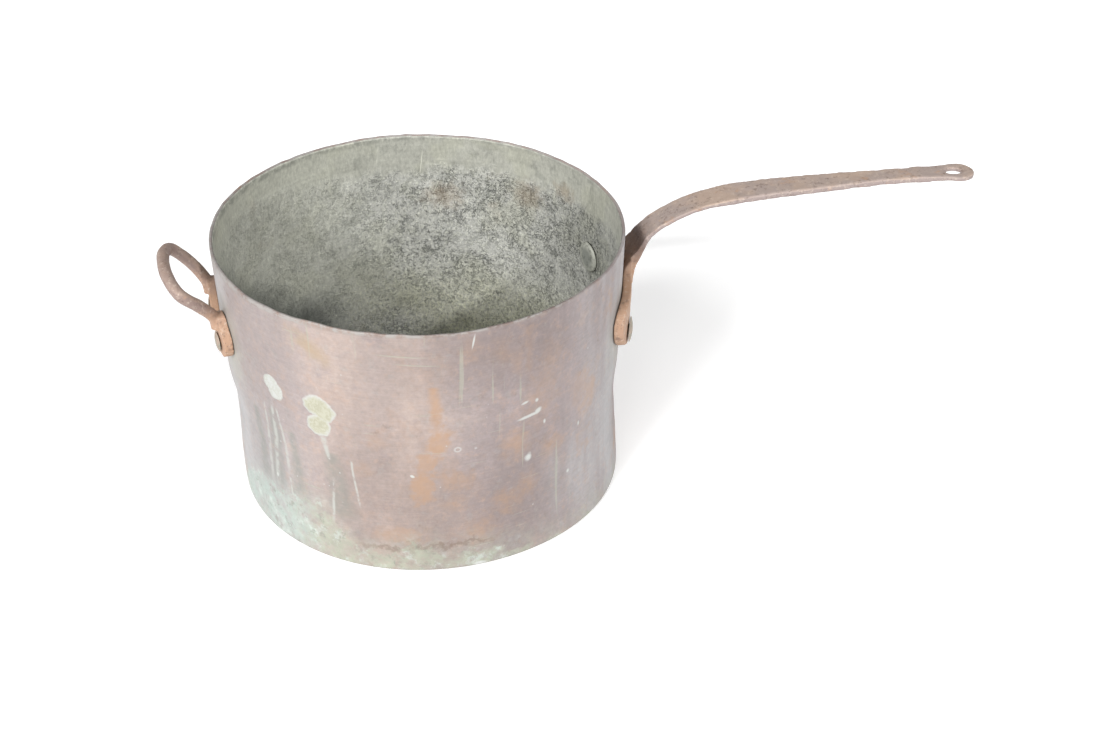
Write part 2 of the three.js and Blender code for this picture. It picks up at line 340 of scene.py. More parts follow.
def rivet(name, node, azimuth, outer, inner, shank, seed):
    """One closed rivet: a hammered dome outside, a flat disc inside, and the shank between.
    outer and inner are (head radius, rise)."""
    low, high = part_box(node)
    height = (low.z + high.z) / 2
    turn = math.radians(azimuth)
    start, end = rivet_ends(node, turn)
    outer_head, outer_rise = outer
    inner_head, inner_rise = inner
    profile = [(0.0, start + 0.15 * MM)]
    for t in np.linspace(0.12, 1, 10):
        profile.append((inner_head * t, start + 0.15 * MM * (1 - t) + inner_rise * 0.7 * t ** 7))
    profile.append((inner_head * 0.985, start + inner_rise))
    profile.append((shank, start + inner_rise))
    profile.append((shank, end - outer_rise))
    profile.append((outer_head * 0.97, end - outer_rise))
    for t in np.linspace(1, 0.12, 12):
        profile.append((outer_head * t, end - outer_rise * (0.25 * t ** 4 + 0.65 * t ** 2)))
    profile.append((0.0, end))
    around = 64
    rows = len(profile)
    points = []
    for i in range(around):
        spin = i * 2 * math.pi / around
        for radius, out in profile:
            points.append((radius * math.cos(spin), radius * math.sin(spin), out))
    points = np.array(points)
    points[:, :2] *= (1 - 0.03 + 0.03 * waves(points, 0.02, seed))[:, None]
    faces = []
    for i in range(around):
        n = (i + 1) % around
        for j in range(rows - 1):
            faces.append((i * rows + j, i * rows + j + 1, n * rows + j + 1, n * rows + j))
    side, up, out = points.T
    placed = np.stack([out * math.cos(turn) - side * math.sin(turn),
                       out * math.sin(turn) + side * math.cos(turn),
                       up + height], 1)
    piece = add_mesh(name, placed, faces)
    weld(piece, 0.02 * MM)
    return outward(piece)


# ---- looks: a small kit for building node materials ------------------------------------
class Look:
    """One procedural material. Values passed in are numbers or node outputs."""

    def __init__(self, name):
        self.material = bpy.data.materials.new(name)
        self.material.use_nodes = True
        self.tree = self.material.node_tree
        self.tree.nodes.clear()
        end = self.tree.nodes.new("ShaderNodeOutputMaterial")
        self.shader = self.tree.nodes.new("ShaderNodeBsdfPrincipled")
        self.tree.links.new(self.shader.outputs[0], end.inputs[0])
        self.point = self.tree.nodes.new("ShaderNodeTexCoord").outputs["Object"]

    def put(self, socket, value):
        if isinstance(value, bpy.types.NodeSocket):
            self.tree.links.new(value, socket)
        elif value is not None:
            if hasattr(socket.default_value, "__len__") and not hasattr(value, "__len__"):
                value = [value] * len(socket.default_value)
            socket.default_value = value

    def math(self, operation, *values):
        node = self.tree.nodes.new("ShaderNodeMath")
        node.operation = operation
        for socket, value in zip(node.inputs, values):
            self.put(socket, value)
        return node.outputs[0]

    def add(self, a, b):
        return self.math("ADD", a, b)

    def times(self, a, b):
        return self.math("MULTIPLY", a, b)

    def scaled(self, value, gain, offset):
        """value * gain + offset"""
        return self.math("MULTIPLY_ADD", value, gain, offset)

    def most(self, *values):
        found = values[0]
        for value in values[1:]:
            found = self.math("MAXIMUM", found, value)
        return found

    def stretch(self, scale):
        """The surface point with each axis scaled."""
        node = self.tree.nodes.new("ShaderNodeVectorMath")
        node.operation = "MULTIPLY"
        self.put(node.inputs[0], self.point)
        node.inputs[1].default_value = scale
        return node.outputs[0]

    def vector(self, x, y, z):
        node = self.tree.nodes.new("ShaderNodeCombineXYZ")
        for socket, value in zip(node.inputs, (x, y, z)):
            self.put(socket, value)
        return node.outputs[0]

    def noise(self, per_metre, detail=3.0, rough=0.5, twist=0.0, at=None):
        node = self.tree.nodes.new("ShaderNodeTexNoise")
        self.put(node.inputs["Vector"], at or self.point)
        node.inputs["Scale"].default_value = per_metre
        node.inputs["Detail"].default_value = detail
        node.inputs["Roughness"].default_value = rough
        node.inputs["Distortion"].default_value = twist
        return node.outputs["Fac"]

    def cells(self, per_metre, feature="F1", at=None):
        node = self.tree.nodes.new("ShaderNodeTexVoronoi")
        node.feature = feature
        self.put(node.inputs["Vector"], at or self.point)
        node.inputs["Scale"].default_value = per_metre
        return node.outputs["Distance"]

    def step(self, value, low, high, top=1.0):
        """0 at `low`, `top` at `high`, smooth between; low may be above high."""
        node = self.tree.nodes.new("ShaderNodeMapRange")
        node.interpolation_type = "SMOOTHSTEP"
        self.put(node.inputs["Value"], value)
        flip = low > high
        node.inputs["From Min"].default_value = high if flip else low
        node.inputs["From Max"].default_value = low if flip else high
        node.inputs["To Min"].default_value = top if flip else 0.0
        node.inputs["To Max"].default_value = 0.0 if flip else top
        return node.outputs[0]

    def mix(self, share, a, b, kind="MIX"):
        node = self.tree.nodes.new("ShaderNodeMix")
        node.data_type = "RGBA"
        node.blend_type = kind
        self.put(node.inputs[0], share)
        self.put(node.inputs[6], a)
        self.put(node.inputs[7], b)
        return node.outputs[2]

    def vary(self, color, value, depth):
        """Lightens and darkens `color` by up to `depth` each way as `value` runs from 0 to 1."""
        level = self.scaled(value, 2 * depth, 1 - depth)
        return self.mix(1.0, color, self.vector(level, level, level), "MULTIPLY")

    def dim(self, color, mask, share):
        """Darkens `color` by `share` where `mask` is 1."""
        return self.mix(self.times(mask, share), color, (0, 0, 0, 1))

    def bump(self, height, depth, under=None):
        node = self.tree.nodes.new("ShaderNodeBump")
        node.inputs["Strength"].default_value = 1.0
        node.inputs["Distance"].default_value = depth
        self.put(node.inputs["Height"], height)
        if under is not None:
            self.put(node.inputs["Normal"], under)
        return node.outputs[0]

    def set(self, **values):
        names = {"color": "Base Color", "rough": "Roughness", "metal": "Metallic",
                 "normal": "Normal", "gloss": "Specular IOR Level"}
        for name, value in values.items():
            self.put(self.shader.inputs[names[name]], value)
        return self.material


class WallLook(Look):
    """A look for the pan's wall. u is the arc in mm from the upright line at `facing`, positive
    anticlockwise seen from above, and wraps at +-471 mm; v is the height in mm."""

    def __init__(self, name, facing):
        super().__init__(name)
        split = self.tree.nodes.new("ShaderNodeSeparateXYZ")
        self.put(split.inputs[0], self.point)
        x, y, z = split.outputs
        ahead = self.add(self.times(x, math.cos(facing)), self.times(y, math.sin(facing)))
        right = self.add(self.times(x, -math.sin(facing)), self.times(y, math.cos(facing)))
        self.u = self.times(self.math("ARCTAN2", right, ahead), RIM_RADIUS / MM)
        self.v = self.times(z, 1 / MM)
        self.ragged = self.add(self.noise(160, 4, 0.6), -0.5)
        self.wander = self.add(self.noise(18, 2, 0.5), -0.5)

    def spot(self, u, v, half_wide, half_high, tilt=0.0, rag=1.4, soft=0.25):
        """An uneven oval. `tilt` leans its top towards higher u, in degrees."""
        lean = math.radians(tilt)
        du = self.add(self.u, -u)
        dv = self.add(self.v, -v)
        across = self.add(self.times(du, math.cos(lean) / half_wide),
                          self.times(dv, -math.sin(lean) / half_wide))
        along = self.add(self.times(du, math.sin(lean) / half_high),
                         self.times(dv, math.cos(lean) / half_high))
        far = self.math("SQRT", self.add(self.times(across, across), self.times(along, along)))
        far = self.scaled(self.ragged, rag, far)
        return self.step(far, 1 + soft, 1 - soft)

    def drip(self, u, top, bottom, wide, wide_end, lean=0.0, sway=3.0, soft=0.6):
        """A run down the wall from `top` to `bottom`, `lean` mm to the right at its end."""
        along = self.math("DIVIDE", self.add(self.times(self.v, -1), top), top - bottom)
        line = self.scaled(along, lean, u)
        line = self.scaled(self.wander, sway, line)
        half = self.scaled(along, wide_end - wide, wide)
        off = self.math("ABSOLUTE", self.math("SUBTRACT", self.u, line))
        off = self.math("DIVIDE", off, half)
        body = self.step(off, 1 + soft, 1 - soft)
        ends = self.times(self.step(along, -0.02, 0.04), self.step(along, 1.0, 0.75))
        return self.times(body, ends)


def tone(red, green, blue, gain=1.25):
    """A surface colour from everyday 0-255 values, lifted for this studio's low light."""
    parts = [c / 255 for c in (red, green, blue)]
    linear = [c / 12.92 if c <= 0.04045 else ((c + 0.055) / 1.055) ** 2.4 for c in parts]
    return (*[c * gain for c in linear], 1.0)


# ---- the copper's patina ----------------------------------------------------------------
MAUVE = tone(139, 129, 127)
TAN = tone(151, 137, 130)
LAVENDER = tone(132, 122, 122)
GREY = tone(143, 141, 138)
EDGE_GREY = tone(150, 150, 151)
BROWN_MAUVE = tone(122, 108, 103)
PEACH = tone(155, 133, 120)
BARE = tone(151, 124, 103)
OCHRE = tone(146, 128, 104)
MINT = tone(150, 160, 154)
MINT_PALE = tone(168, 176, 170)
CREAM_GREEN = tone(144, 147, 133)
GREEN_GREY = tone(118, 123, 113)
SOOT = tone(72, 62, 56)
UMBER = tone(104, 84, 72)
WHITE_LIME = tone(166, 168, 165)
CREAM_LIME = tone(156, 154, 134)
LIME_SHADE = tone(140, 138, 120)
RUN_GREY = tone(108, 112, 106)
RUN_PALE = tone(154, 155, 150)
BASE_DARK = tone(96, 80, 70)
BASE_BROWN = tone(134, 108, 92)


def patina_base(look):
    """Mauve-brown patina, warmer in a soft upright band left of the front and cooler to the right."""
    cloud = look.noise(20, 5, 0.66, 0.3)
    blotch = look.noise(46, 5, 0.68)
    fleck = look.noise(125, 4, 0.7)
    upright = look.noise(26, 3, 0.55, at=look.stretch((1.0, 1.0, 0.15)))
    sway = look.times(look.wander, 60)
    warm = look.step(look.math("ABSOLUTE", look.add(look.add(look.u, 22), sway)), 78, 14)
    warm = look.times(warm, look.scaled(look.step(upright, 0.35, 0.6), 0.4, 0.6))
    color = look.mix(look.most(warm, look.step(cloud, 0.52, 0.66, 0.75)), MAUVE, TAN)
    cool = look.times(look.step(look.add(look.u, sway), 15, 75), look.step(look.u, 300, 200))
    cool = look.most(look.times(cool, 0.9), look.step(blotch, 0.44, 0.34, 0.5))
    color = look.mix(cool, color, LAVENDER)
    color = look.mix(look.step(blotch, 0.54, 0.68, 0.4), color, PEACH)
    warm_top = look.spot(62, 190, 52, 34, 0, rag=1.6, soft=0.9)
    color = look.mix(look.times(warm_top, 0.4), color, BROWN_MAUVE)
    low_front = look.spot(25, 55, 75, 60, 0, rag=1.6, soft=0.9)
    color = look.mix(look.times(low_front, 0.42), color, BROWN_MAUVE)
    smudge = look.spot(128, 52, 34, 26, 20, rag=1.8, soft=0.9)
    smudge = look.times(smudge, look.step(upright, 0.35, 0.6))
    color = look.mix(look.times(smudge, 0.6), color, EDGE_GREY)
    edge = look.times(look.step(look.u, 118, 180), look.step(look.u, 265, 220))
    edge = look.times(edge, look.step(upright, 0.3, 0.62))
    color = look.mix(look.times(edge, 0.8), color, EDGE_GREY)
    left_edge = look.times(look.step(look.u, -130, -185), look.step(look.u, -290, -240))
    left_edge = look.times(left_edge, look.step(upright, 0.28, 0.6))
    color = look.mix(look.times(left_edge, 0.75), color, EDGE_GREY)
    left_low = look.spot(-160, 60, 60, 52, 0, rag=1.6, soft=0.9)
    color = look.mix(look.times(left_low, 0.55), color, EDGE_GREY)
    color = look.mix(look.step(fleck, 0.56, 0.68, 0.35), color, PEACH)
    color = look.mix(look.step(fleck, 0.44, 0.32, 0.3), color, GREY)
    pink = look.noise(190, 5, 0.72)
    color = look.mix(look.step(pink, 0.52, 0.66, 0.3), color, PEACH)
    color = look.mix(look.step(pink, 0.48, 0.34, 0.25), color, LAVENDER)
    color = look.mix(look.step(look.noise(60, 4, 0.7), 0.62, 0.74, 0.3), color, UMBER)
    color = look.vary(color, look.noise(62, 5, 0.7), 0.16)
    color = look.vary(color, look.noise(330, 4, 0.7), 0.2)
    brushed = look.noise(1.0, 3, 0.6, at=look.stretch((34, 34, 900)))
    color = look.vary(color, brushed, 0.11)
    return look.mix(look.step(upright, 0.62, 0.38, 0.14), color, SOOT)


def bare_copper(look, color):
    """Places rubbed or pickled back to pinkish orange copper."""
    strip = look.most(
        look.drip(18, 163, 127, 3.0, 3.6, lean=2, sway=5, soft=0.8),
        look.spot(19, 141, 4, 9, 0, rag=2.2, soft=0.6),
    )
    patches = look.most(
        look.spot(20, 115, 8, 13, 8, rag=2.2, soft=0.4),
        look.spot(11, 98, 7, 9, 0, rag=2.4, soft=0.4),
        look.spot(7, 77, 8, 16, 6, rag=2.2, soft=0.4),
    )
    right = look.most(
        look.spot(31, 82, 12, 8, 15, rag=2.6, soft=0.7),
        look.spot(29, 60, 8, 6, 0, rag=2.6, soft=0.8),
        look.spot(76, 102, 9, 11, 0, rag=2.4, soft=0.8),
        look.spot(70, 54, 12, 10, 10, rag=2.6, soft=0.8),
        look.spot(86, 62, 8, 8, 0, rag=2.6, soft=0.9),
        look.spot(110, 88, 8, 8, 0, rag=2.6, soft=0.9),
        look.spot(-10, 33, 17, 7, 0, rag=2.6, soft=0.6),
        look.spot(47, 33, 12, 11, 0, rag=2.8, soft=0.8),
    )
    faint = look.most(
        look.spot(44, 190, 7, 9, 0, rag=2.2, soft=0.9),
        look.spot(66, 184, 6, 10, -10, rag=2.2, soft=0.9),
        look.spot(78, 172, 5, 9, 0, rag=2.2, soft=0.9),
        look.drip(87, 198, 150, 3, 3, sway=6, soft=0.9),
        look.spot(100, 140, 12, 30, 10, rag=2.6, soft=0.9),
        look.spot(-24, 116, 6, 6, 0, rag=1.4, soft=0.8),
        look.spot(-36, 90, 7, 6, 0, rag=1.4, soft=0.8),
    )
    away = look.step(look.math("ABSOLUTE", look.add(look.u, 20)), 120, 190)
    stray = look.times(look.step(look.noise(17, 4, 0.62), 0.58, 0.66, 0.8), away)
    speck = look.step(look.noise(150, 4, 0.7), 0.42, 0.6)
    broken = look.scaled(speck, -0.5, 1.0)
    solid = look.times(look.most(strip, patches), look.scaled(speck, -0.3, 1.0))
    worn = look.times(look.most(look.times(right, 0.72), look.times(faint, 0.42), stray), broken)
    color = look.mix(look.times(solid, 0.85), color, BARE)
    color = look.mix(look.times(worn, 0.75), color, BARE)
    stain = look.times(look.spot(-67, 185, 5.5, 15, -52, rag=2.2, soft=0.8), 0.62)
    color = look.mix(stain, color, OCHRE)
    rag = look.times(look.add(look.noise(95, 4, 0.7), -0.5), 22)
    level = look.add(look.scaled(look.wander, 10, 23), rag)
    crust = look.step(look.math("ABSOLUTE", look.math("SUBTRACT", look.v, level)), 3.4, 0.4)
    crust = look.times(crust, look.step(look.math("ABSOLUTE", look.add(look.u, -8)), 62, 34))
    return look.mix(look.times(crust, 0.62), color, UMBER), solid


def verdigris(look, color):
    """Green copper salts: thick at the foot on the left, thinning to the right and patchy behind."""
    rough_edge = look.add(look.noise(30, 4, 0.65), -0.5)
    fine_edge = look.add(look.noise(130, 4, 0.7), -0.5)
    left = look.step(look.math("ABSOLUTE", look.add(look.u, 112)), 100, 30, 42)
    middle = look.step(look.math("ABSOLUTE", look.u), 130, 40, 17)
    behind = look.step(look.math("ABSOLUTE", look.u), 240, 330, 16)
    top = look.most(left, middle, behind)
    top = look.scaled(rough_edge, 62, top)
    top = look.scaled(fine_edge, 30, top)
    depth = look.math("SUBTRACT", top, look.v)
    cover = look.most(look.step(depth, -3, 4), look.step(depth, -26, 8, 0.45))
    holes = look.step(look.noise(85, 5, 0.7), 0.36, 0.54)
    grain = look.step(look.noise(300, 4, 0.7), 0.35, 0.6)
    thick = look.times(
        look.scaled(holes, 0.5, 0.5),
        look.scaled(grain, 0.3, 0.7),
    )
    gaps = look.step(look.noise(52, 5, 0.72), 0.34, 0.5)
    cover = look.times(look.times(cover, thick), look.scaled(gaps, 0.45, 0.55))
    yellow = look.step(look.add(look.u, look.times(fine_edge, 60)), -108, -66)
    yellow = look.most(yellow, look.step(look.u, -250, -330))
    green = look.mix(yellow, MINT, CREAM_GREEN)
    green = look.mix(look.step(look.noise(70, 5, 0.7), 0.5, 0.64, 0.8), green, MINT_PALE)
    green = look.mix(look.step(look.noise(110, 5, 0.7), 0.46, 0.34, 0.75), green, GREEN_GREY)
    green = look.vary(green, look.noise(105, 5, 0.75), 0.3)
    return look.mix(look.times(cover, 0.95), color, green), cover


def runs(look, color):
    """Old limewash splashes and the runs below them."""
    break_up = look.step(look.noise(120, 4, 0.7), 0.34, 0.56)
    grey = look.most(
        look.drip(-60, 100, 34, 5.0, 11, lean=7, sway=7, soft=0.9),
        look.drip(-112, 118, 38, 4.0, 8, lean=-2, sway=8, soft=0.9),
        look.drip(-134, 110, 38, 3.0, 8, lean=3, sway=8, soft=0.9),
        look.drip(-94, 106, 40, 3.0, 7, lean=3, sway=8, soft=0.9),
    )
    grey = look.times(grey, look.scaled(break_up, 0.5, 0.5))
    color = look.mix(look.times(grey, 0.55), color, RUN_GREY)
    pale = look.most(
        look.drip(-111, 127, 40, 1.3, 2.2, lean=-5, sway=9, soft=0.9),
        look.drip(-107, 120, 62, 1.0, 1.4, lean=6, sway=9, soft=0.7),
        look.drip(-101, 62, 36, 0.9, 0.7, lean=2, sway=5, soft=0.7),
        look.drip(-120, 120, 44, 0.8, 2.0, lean=-3, sway=7, soft=0.9),
        look.drip(-65, 113, 92, 2.4, 1.0, lean=4, sway=3, soft=0.7),
        look.drip(-60, 78, 34, 0.9, 1.2, lean=-3, sway=6, soft=0.8),
        look.drip(-44, 96, 52, 0.8, 0.8, lean=4, sway=5, soft=0.8),
    )
    pale = look.times(pale, break_up)
    color = look.mix(look.times(pale, 0.8), color, RUN_PALE)
    splash = look.most(
        look.spot(-108.5, 141.5, 7.0, 7.2, -20, rag=0.6, soft=0.12),
        look.spot(-105, 136.5, 7.6, 7.4, -25, rag=0.6, soft=0.12),
    )
    cream = look.most(
        look.spot(-68, 137.5, 10.4, 8.4, 5, rag=0.6, soft=0.1),
        look.spot(-62, 133.5, 9.0, 8.4, 0, rag=0.6, soft=0.1),
        look.spot(-67.5, 121.0, 9.8, 8.6, 0, rag=0.6, soft=0.1),
    )
    heart = look.most(
        look.spot(-68, 137.5, 8.8, 6.8, 5, rag=1.0, soft=0.25),
        look.spot(-62, 133.5, 7.4, 6.8, 0, rag=1.0, soft=0.25),
        look.spot(-67.5, 121.0, 8.2, 7.0, 0, rag=1.0, soft=0.25),
    )
    wrinkle = look.step(look.noise(260, 4, 0.65, 1.5), 0.4, 0.6)
    color = look.mix(look.times(splash, 0.95), color, WHITE_LIME)
    color = look.mix(look.times(cream, 0.9), color, WHITE_LIME)
    color = look.mix(look.times(heart, 0.75), color, CREAM_LIME)
    color = look.mix(look.times(look.times(heart, wrinkle), 0.6), color, LIME_SHADE)
    color = look.mix(look.times(look.times(splash, wrinkle), 0.35), color, LIME_SHADE)
    return color, look.most(splash, cream)


def marks(look, color):
    """Scratches, dashes and small flecks."""
    pale = look.most(
        look.spot(88, 122, 8.5, 1.2, -4, rag=1.0, soft=0.5),
        look.spot(95, 123.5, 3.0, 1.8, -30, rag=1.0, soft=0.5),
        look.spot(84, 134.5, 2.6, 0.9, -10, rag=1.0, soft=0.6),
        look.spot(94, 133, 1.2, 1.4, 0, rag=0.8, soft=0.6),
        look.spot(101, 112, 0.9, 1.6, 0, rag=0.6, soft=0.6),
        look.spot(137, 92, 0.9, 1.8, 0, rag=0.6, soft=0.6),
        look.spot(126, 55, 1.2, 1.4, 0, rag=0.6, soft=0.6),
        look.spot(46, 196, 0.6, 5, 12, rag=0.4, soft=0.6),
        look.spot(0, 87, 1.6, 1.0, 30, rag=0.8, soft=0.5),
        look.spot(-116, 57, 0.9, 1.5, 0, rag=0.3, soft=0.6),
        look.spot(87, 86, 2.2, 2.6, 0, rag=2.6, soft=0.7),
        look.spot(47, 2.5, 5, 1.8, 0, rag=1.0, soft=0.5),
    )
    ring = look.most(
        look.times(
            look.spot(33, 108, 2.8, 2.3, 0, rag=0.3, soft=0.3),
            look.step(look.spot(33, 108, 1.6, 1.2, 0, rag=0.3, soft=0.3), 0.8, 0.1),
        ),
        look.times(look.spot(46, 107, 1.0, 1.0, 0, rag=0.3, soft=0.5), 0.7),
    )
    flecks = look.step(look.cells(95), 0.09, 0.03)
    flecks = look.times(flecks, look.step(look.noise(15, 3), 0.5, 0.6))
    dashes = look.most(pale, look.times(ring, 0.6), look.times(flecks, 0.55))
    color = look.mix(look.times(dashes, 0.92), color, WHITE_LIME)
    cross = look.step(look.noise(1.0, 2, 0.5, at=look.stretch((26, 26, 700))), 0.68, 0.74)
    cross = look.times(cross, look.step(look.noise(13, 3), 0.46, 0.58))
    cross = look.most(
        cross,
        look.spot(-3, 188, 16, 0.6, 3, rag=0.5, soft=0.5),
        look.spot(8, 181, 14, 0.5, 4, rag=0.5, soft=0.5),
    )
    upright = look.step(look.noise(240, 2, 0.5, at=look.stretch((1, 1, 0.04))), 0.66, 0.72)
    upright = look.times(upright, look.step(look.noise(9, 2), 0.5, 0.62))
    scratch = look.most(cross, upright)
    return look.mix(look.times(scratch, 0.42), color, CREAM_GREEN), scratch


def copper_look():
    """The outside of the side: patina, then bare places, verdigris, runs, marks and the rim."""
    look = WallLook("patinated_copper", FRONT)
    color = patina_base(look)
    color, bare = bare_copper(look, color)
    color, salts = verdigris(look, color)
    color = look.dim(color, look.spot(30, 42, 85, 60, 0, rag=1.4, soft=0.9), 0.15)
    color = look.dim(color, look.spot(62, 192, 60, 40, 0, rag=1.4, soft=0.9), 0.17)
    fringe = look.most(
        look.spot(-166, 148, 17, 26, 0, rag=1.8, soft=0.8),
        look.spot(-218, 148, 17, 26, 0, rag=1.8, soft=0.8),
        look.spot(220, 136, 30, 26, 0, rag=1.8, soft=0.8),
    )
    color = look.mix(look.times(fringe, 0.5), color, CREAM_GREEN)
    color, splash = runs(look, color)
    color, scratch = marks(look, color)
    rim = look.step(look.v, 201.5, 204.2)
    worn = look.step(look.noise(110, 4, 0.7), 0.42, 0.58)
    color = look.mix(look.times(rim, 0.35), color, UMBER)
    color = look.mix(look.times(look.times(rim, worn), 0.75), color, GREY)
    under = look.step(look.v, 2.0, 0.3)
    color = look.mix(look.times(under, 0.7), color, SOOT)
    rough = look.scaled(look.noise(30, 4, 0.6), 0.3, 0.36)
    rough = look.most(rough, look.times(salts, 0.85), look.times(splash, 0.8))
    pits = look.scaled(look.noise(520, 4, 0.65), 0.35, look.noise(90, 4, 0.6))
    crust = look.times(salts, look.noise(420, 4, 0.7))
    height = look.add(look.times(pits, 0.5), look.times(crust, 0.8))
    height = look.scaled(scratch, -0.25, height)
    height = look.scaled(splash, 0.9, height)
    height = look.scaled(bare, -0.15, height)
    return look.set(color=color, rough=rough, metal=0.12, gloss=0.4,
                    normal=look.bump(height, 0.4 * MM))


def base_look():
    """Sooted and scoured copper under the pan."""
    look = Look("sooted_copper")
    cloud = look.step(look.noise(16, 4, 0.6), 0.35, 0.65)
    color = look.mix(cloud, BASE_DARK, BASE_BROWN)
    color = look.mix(look.step(look.noise(60, 4, 0.65), 0.5, 0.7, 0.6), color, SOOT)
    color = look.mix(look.step(look.noise(45, 5, 0.7), 0.62, 0.72, 0.6), color, MINT)
    height = look.add(look.noise(300, 4, 0.6), look.noise(60, 3, 0.5))
    rough = look.scaled(look.noise(50, 4), 0.3, 0.42)
    return look.set(color=color, rough=rough, metal=0.12, gloss=0.4,
                    normal=look.bump(height, 0.4 * MM))


# ---- the tin inside ----------------------------------------------------------------------
TIN_PALE = tone(194, 195, 181)
TIN_MID = tone(168, 168, 163)
TIN_DARK = tone(84, 86, 82)
TIN_BAND = tone(155, 155, 146)
TIN_BROWN = tone(142, 124, 102)
TIN_OLIVE = tone(156, 156, 142)
TIN_CREAM = tone(200, 200, 178)


def pitted(look):
    """Etched texture: pale grains about 3 mm wide and the dark, crooked crevices between. Returns
    the crevices, the grains and a coarse mottle."""
    bend = look.noise(120, 4, 0.65)
    shift = look.tree.nodes.new("ShaderNodeVectorMath")
    shift.operation = "SCALE"
    look.put(shift.inputs[0], look.vector(bend, look.noise(150, 4, 0.65), look.noise(110, 3, 0.6)))
    shift.inputs["Scale"].default_value = 16 * MM
    moved = look.tree.nodes.new("ShaderNodeVectorMath")
    look.put(moved.inputs[0], look.point)
    look.put(moved.inputs[1], shift.outputs[0])
    crack = look.cells(250, "DISTANCE_TO_EDGE", at=moved.outputs[0])
    crevice = look.times(look.step(crack, 0.15, 0.02), look.step(look.noise(130, 4, 0.7), 0.42, 0.56))
    grain = look.step(look.cells(310, at=moved.outputs[0]), 0.42, 0.2)
    coarse = look.noise(370, 5, 0.78)
    return crevice, grain, coarse


